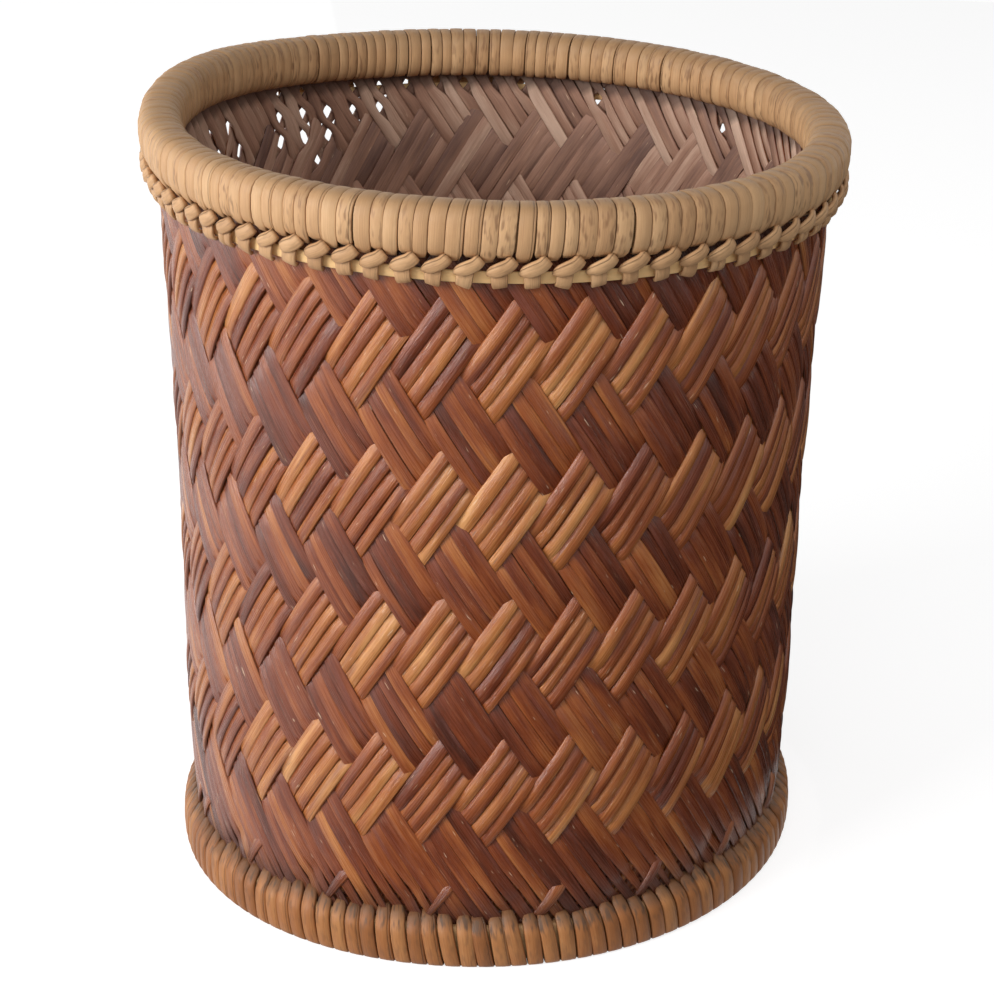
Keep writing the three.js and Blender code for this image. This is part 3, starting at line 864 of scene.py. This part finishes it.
# Rim plait
# The lashing cane's second course: for each stitch a lobe slants down to the left under the
# rim, and a band of narrow strands goes down over the runner and through the wall below it.
LOBE_STEPS = 8
BAND_STEPS = 6
# A stitch is given in millimetres: points to the right of its middle, above the rim's underside
# and out from the axis, and half the width at each step.
LOBE_POINTS = (
    (-4.2, -3.9, 125.4),
    (-2.6, -2.9, 127.2),
    (-0.3, -1.8, 127.9),
    (2.1, -0.7, 127.6),
    (3.9, 0.9, 126.6),
)
LOBE_HALF_WIDTHS = (0.6, 1.6, 2.1, 2.35, 2.45, 2.45, 2.4, 2.35, 2.1)
BAND_POINTS = ((-3.2, 125.8), (-4.7, 126.4), (-6.5, 126.4), (-8.0, 125.8), (-8.7, 124.2))
BAND_MIDDLE = -0.9
BAND_HALF_WIDTH = 2.85
BAND_TAPER = 0.02
BAND_STRANDS = (1, 1, 1, 2)
LOBE_SECTION = (0.001, 0.0009)
BAND_SECTION = (0.0009, 0.0005)
LOBE_SQUARENESS = 0.62
BAND_SQUARENESS = 0.4
# How the stitches differ, in radians, shares and millimetres.
STITCH_JITTER = 0.001
STITCH_GROWTH = (0.94, 1.08)
STITCH_RISE = 0.25
STITCH_TONES = (0.36, 0.6)
STITCH_STAIN = 0.3
BAND_DRIFT = (-0.5, 0.3)
BAND_STANDS_OFF = 0.15
STRAND_TONES = (-0.1, 0.06)
# A cane whose number has this fraction has a rib, which is a lobe's crease.
CREASED = 0.9


def through_points(points, steps):
    """Even steps along a smooth curve through the points, each with its direction. Between two
    points the curve leaves the one and comes to the other along the line that joins their
    neighbours."""
    padded = [points[0] * 2 - points[1], *points, points[-1] * 2 - points[-2]]
    spans = len(points) - 1
    places = []
    for step in range(steps + 1):
        span = min(int(step / steps * spans), spans - 1)
        t = step / steps * spans - span
        a, b, c, d = padded[span:span + 4]
        way_out = c - a
        bend = a * 2 - b * 5 + c * 4 - d
        turn_back = b * 3 - a - c * 3 + d
        place = (b * 2 + way_out * t + bend * t * t + turn_back * t ** 3) / 2
        slope = (way_out + bend * 2 * t + turn_back * 3 * t * t) / 2
        places.append((place, slope.normalized()))
    return places


def stitch_place(turn, aside, above_rim, reach):
    """A point of a stitch, from millimetres beside its middle, above the rim's underside
    and out from the axis."""
    return round_place(turn + aside / reach, reach / 1000, rim_low.z + above_rim / 1000)


def rings_along(places, widths, thickness, crown):
    """Rings square to a path on the wall, whose outside faces away from the axis."""
    rings = []
    for (place, slope), width in zip(places, widths):
        outward = Vector((place.x, place.y, 0)).normalized()
        across = slope.cross(outward).normalized()
        out_way = across.cross(slope).normalized()
        if out_way.dot(outward) < 0:
            out_way.negate()
        across = out_way.cross(slope).normalized()
        rings.append((place, across, out_way, width, thickness, crown))
    return rings


plait = canework()
lobe_blank = cane_blank(STRIP_SIDES, LOBE_STEPS)
band_blank = cane_blank(STRIP_SIDES, BAND_STEPS)
for stitch in range(RIM_TURNS // 2):
    turn = stitch_place_round(stitch) + random.uniform(-STITCH_JITTER, STITCH_JITTER)
    stretch = (stitch_place_round(stitch + 0.5) - stitch_place_round(stitch - 0.5)) / stitch_turn
    tone = random.uniform(*STITCH_TONES)
    growth = random.uniform(*STITCH_GROWTH)
    rise = random.uniform(-STITCH_RISE, STITCH_RISE)
    points = [stitch_place(turn, x * stretch, z + rise, reach) for x, z, reach in LOBE_POINTS]
    widths = [half * growth / 1000 for half in LOBE_HALF_WIDTHS]
    rings = rings_along(through_points(points, LOBE_STEPS), widths, *LOBE_SECTION)
    number = random.randrange(CANE_NUMBERS) + CREASED
    lay_cane(plait, lobe_blank, rings, tone, STITCH_STAIN, LOBE_SQUARENESS, number)
    strands = random.choice(BAND_STRANDS)
    drift = random.uniform(*BAND_DRIFT)
    half = BAND_HALF_WIDTH / strands
    for strand in range(strands):
        start = BAND_MIDDLE - BAND_HALF_WIDTH + half * (2 * strand + 1)
        points = []
        for k, (z, reach) in enumerate(BAND_POINTS):
            reach += random.uniform(0, BAND_STANDS_OFF)
            points.append(stitch_place(turn, start + drift * k / 2, z, reach))
        widths = [half / 1000 * (1 + BAND_TAPER * (1 - k)) for k in range(BAND_STEPS + 1)]
        rings = rings_along(through_points(points, BAND_STEPS), widths, *BAND_SECTION)
        strand_tone = tone + random.uniform(*STRAND_TONES)
        number = random.randrange(CANE_NUMBERS)
        lay_cane(plait, band_blank, rings, strand_tone, STITCH_STAIN, BAND_SQUARENESS, number)
finished_piece("plait_stitches", plait, straw_cane, "rim_plait")


# Foot lashing
# One long half-round cane, 124 turns, wound over both foot hoops. The turns lean to the left, are
# worn flat underneath, and go in between the strips of the wall with blunt tops, which are
# darkened with dust and painted shade.
FOOT_TURNS = 124
FOOT_STEPS = 20
FOOT_CANE_THICKNESS = 0.0010
FOOT_CANE_CROWN = 0.0007
FOOT_CANE_SQUARENESS = 0.46
FOOT_CANE_TONES = (0.3, 0.72)
FOOT_LEAN = math.radians(9)
TOP_ROUNDING = 0.0035
# The outline of a turn: how high each face and slope starts and how far in, from a worn edge
# at the underside to a shoulder outside.
UNDER_FLOOR = 0.0004
WORN_RISE = 0.0006
WORN_IN = 0.0012
WORN_FLAT = 0.004
SHOULDER = 0.0115
SLOPE = 0.0155
SLOPE_IN = 0.0012
TOP_OVER_WALL = 0.0008
CROWN_ABOVE = 0.002
# How the turns differ, and the dust and painted shade along their tops.
FOOT_JITTER = 0.0015
FOOT_TOPS = (0.0, 0.0026)
FOOT_LEAN_SPREAD = 0.05
FOOT_HALF_WIDTHS = (0.475, 0.5)
FOOT_BLUNTNESS = (0.4, 0.8)
DUST_EVERYWHERE = 0.3
DUST_AND_SHADE_AT_TOP = 1.3
DUST_AND_SHADE_DEPTH = 0.010
FOOT_SHADES = (paint(112, 68, 38), paint(160, 102, 58), paint(198, 142, 90))
FOOT_STAIN_AND_SHADE = paint(98, 70, 50)

foot_cane = cane_finish("foot_cane", FOOT_SHADES, FOOT_STAIN_AND_SHADE, 0.5)
foot_reaches = [math.hypot(v.co.x, v.co.y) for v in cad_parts["foot_lashing"].data.vertices]
foot_inner, foot_outer = min(foot_reaches), max(foot_reaches)
foot_middle = (foot_inner + foot_outer) / 2
foot_pitch = 2 * math.pi / FOOT_TURNS
foot_blank = cane_blank(RIM_SIDES, FOOT_STEPS)
foot_turns = canework()
for number in range(FOOT_TURNS):
    turn_middle = number * foot_pitch + random.uniform(-FOOT_JITTER, FOOT_JITTER)
    top = foot_high.z + random.uniform(*FOOT_TOPS)
    lean_angle = FOOT_LEAN + random.uniform(-FOOT_LEAN_SPREAD, FOOT_LEAN_SPREAD)
    half = random.uniform(*FOOT_HALF_WIDTHS) * foot_pitch
    blunt = random.uniform(*FOOT_BLUNTNESS)
    outline = [
        Vector((foot_inner, floor_low.z - UNDER_FLOOR)),
        Vector((foot_inner, WORN_FLAT)),
        Vector((foot_inner + WORN_IN, WORN_RISE)),
        Vector((foot_inner + WORN_FLAT, 0.0)),
        Vector((foot_outer - WORN_FLAT, 0.0)),
        Vector((foot_outer - WORN_IN, WORN_RISE)),
        Vector((foot_outer, WORN_FLAT)),
        Vector((foot_outer, SHOULDER)),
        Vector((foot_outer - SLOPE_IN, SLOPE)),
        Vector((wall_reach(top) - TOP_OVER_WALL, top)),
    ]
    rings = []
    foot_dust_and_shade = []
    for place, slope in through_points(outline, FOOT_STEPS):
        reach, z = place
        is_outside = reach > foot_middle
        lean_aside = math.tan(lean_angle) * max(z, 0) / reach
        turn = turn_middle - lean_aside if is_outside else turn_middle + lean_aside
        outward = Vector((math.sin(turn), -math.cos(turn), 0))
        sideways = Vector((math.cos(turn), math.sin(turn), 0))
        out_way = outward * slope.y - Vector((0, 0, slope.x))
        crown = FOOT_CANE_CROWN * ease(0.0, CROWN_ABOVE, z)
        below_top = min(max((top - z) / TOP_ROUNDING, 0), 1) if is_outside else 1
        full_share = math.sqrt(1 - (1 - below_top) ** 2)
        width = half * reach * (blunt + (1 - blunt) * full_share)
        middle = round_place(turn, reach, z) - out_way * (FOOT_CANE_THICKNESS / 2 + crown)
        rings.append((middle, sideways, out_way, width, FOOT_CANE_THICKNESS, crown))
        # Towards its top a turn darkens with dust, and with painted shade where it goes in under
        # the wall.
        top_dust_and_shade = DUST_AND_SHADE_AT_TOP * ease(top - DUST_AND_SHADE_DEPTH, top, z) if is_outside else 0
        foot_dust_and_shade.append(DUST_EVERYWHERE + top_dust_and_shade)
    tone = random.uniform(*FOOT_CANE_TONES)
    lay_cane(foot_turns, foot_blank, rings, tone, foot_dust_and_shade, FOOT_CANE_SQUARENESS)
finished_piece("foot_turns", foot_turns, foot_cane, "foot_lashing", flat=False)


# Studio
# A pale floor that looks white, a wide soft light from the front left, weaker ones from the left
# and from above, and a little light all round. A low light at the left shines only on what is
# glossy. The camera stands where the photograph was taken from.
CAMERA_PLACE = Vector((-0.01298, -0.86068, 0.51283))
CAMERA_DOWN = math.radians(23.73)
CAMERA_TURN = math.radians(1.045)
CAMERA_ROLL = math.radians(0.022)
LENS = 87.52
LIGHT_DISTANCE = 2.0
# Each light's name, the way to it, its size, its power and whether it shines only on gloss.
LIGHTS = (
    ("window_light", Vector((-1.0, -0.7, 0.5)), 1.0, 30, False),
    ("side_light", Vector((-1.0, 0.45, 0.2)), 1.4, 7, False),
    ("overhead_light", Vector((0.1, -0.75, 1.0)), 1.6, 13.5, False),
    ("low_window_light", Vector((-1.0, -0.28, 0.08)), 0.7, 15, True),
)
FILL_STRENGTH = 0.26
FLOOR_COLOUR = 0.45
FLOOR_GLOW = 0.76
FLOOR_HALF_SIZE = 6
FLOOR_ROUGHNESS = 0.9

level_right = Vector((math.cos(CAMERA_TURN), -math.sin(CAMERA_TURN), 0))
level_ahead = Vector((math.sin(CAMERA_TURN), math.cos(CAMERA_TURN), 0))
ahead = level_ahead * math.cos(CAMERA_DOWN) - Vector((0, 0, math.sin(CAMERA_DOWN)))
above = level_ahead * math.sin(CAMERA_DOWN) + Vector((0, 0, math.cos(CAMERA_DOWN)))
right = level_right * math.cos(CAMERA_ROLL) - above * math.sin(CAMERA_ROLL)
upward = level_right * math.sin(CAMERA_ROLL) + above * math.cos(CAMERA_ROLL)
camera = bpy.data.objects.new("camera", bpy.data.cameras.new("camera"))
camera.data.lens = LENS
facing = Matrix((right, upward, -ahead)).transposed().to_4x4()
camera.matrix_world = Matrix.Translation(CAMERA_PLACE) @ facing
bpy.context.scene.collection.objects.link(camera)
bpy.context.scene.camera = camera

basket_middle = Vector((0, 0, height / 2))
for name, way, size, power, only_mirrored in LIGHTS:
    light = bpy.data.objects.new(name, bpy.data.lights.new(name, "AREA"))
    light.data.size = size
    light.data.energy = power
    light.visible_diffuse = not only_mirrored
    light_place = basket_middle + way.normalized() * LIGHT_DISTANCE
    facing = way.to_track_quat("Z", "Y").to_matrix().to_4x4()
    light.matrix_world = Matrix.Translation(light_place) @ facing
    bpy.context.scene.collection.objects.link(light)

# A dark card lies on the floor in front of the basket, to its right and behind it. It is there
# only for what the cane mirrors, as the table in a dark room is.
CARD_START = math.radians(-38)
CARD_END = math.radians(185)
CARD_INNER = 0.135
CARD_OUTER = 1.6
CARD_LEVEL = 0.0005
CARD_STEPS = 24

card_edge = bmesh.new()
near_end = card_edge.verts.new(round_place(CARD_START, CARD_INNER, CARD_LEVEL))
far_end = card_edge.verts.new(round_place(CARD_START, CARD_OUTER, CARD_LEVEL))
card_edge.edges.new((near_end, far_end))
bmesh.ops.spin(
    card_edge, geom=card_edge.verts[:] + card_edge.edges[:], axis=(0, 0, 1), cent=(0, 0, 0),
    angle=CARD_END - CARD_START, steps=CARD_STEPS,
)
card_mesh = bpy.data.meshes.new("dark_card")
card_edge.to_mesh(card_mesh)
card_edge.free()
dark_card = bpy.data.objects.new("dark_card", card_mesh)
bpy.context.scene.collection.objects.link(dark_card)
card_material, card_wire = new_material("dark_card")
card_shader = card_wire.node("BsdfPrincipled", {"Base Color": paint(40, 34, 32), "Roughness": 1.0})
card_wire.node("OutputMaterial", {"Surface": card_shader})
card_mesh.materials.append(card_material)
dark_card.visible_camera = False
dark_card.visible_diffuse = False
dark_card.visible_shadow = False


def seen_directly(wire):
    """1 for what the camera sees by itself, mirrored or through something, and 0 for light."""
    kinds = ("Is Camera Ray", "Is Glossy Ray", "Is Transmission Ray")
    camera_ray, mirrored, through = [wire.node("LightPath", {}, output=kind) for kind in kinds]
    return wire.math("MAXIMUM", wire.math("MAXIMUM", camera_ray, mirrored), through)


world = bpy.data.worlds.new("studio")
world.use_nodes = True
world.node_tree.nodes.clear()
sky = Wire(world.node_tree)
strength = seen_directly(sky) * (1 - FILL_STRENGTH) + FILL_STRENGTH
background = sky.node("Background", {"Color": (1, 1, 1, 1), "Strength": strength})
sky.node("OutputWorld", {"Surface": background})
bpy.context.scene.world = world

ground = bmesh.new()
bmesh.ops.create_grid(ground, x_segments=1, y_segments=1, size=FLOOR_HALF_SIZE)
floor_mesh = bpy.data.meshes.new("studio_floor")
ground.to_mesh(floor_mesh)
ground.free()
studio_floor = bpy.data.objects.new("studio_floor", floor_mesh)
bpy.context.scene.collection.objects.link(studio_floor)
floor_material, floor_wire = new_material("studio_floor")
floor_sockets = {
    "Base Color": (FLOOR_COLOUR, FLOOR_COLOUR, FLOOR_COLOUR, 1),
    "Roughness": FLOOR_ROUGHNESS,
    "Emission Color": (1, 1, 1, 1),
    "Emission Strength": seen_directly(floor_wire) * FLOOR_GLOW,
}
floor_shader = floor_wire.node("BsdfPrincipled", floor_sockets)
floor_wire.node("OutputMaterial", {"Surface": floor_shader})
floor_mesh.materials.append(floor_material)

bpy.context.scene.view_settings.view_transform = "Standard"

for blank in [mesh for mesh in bpy.data.meshes if mesh.name.startswith("cane_blank")]:
    bpy.data.meshes.remove(blank)
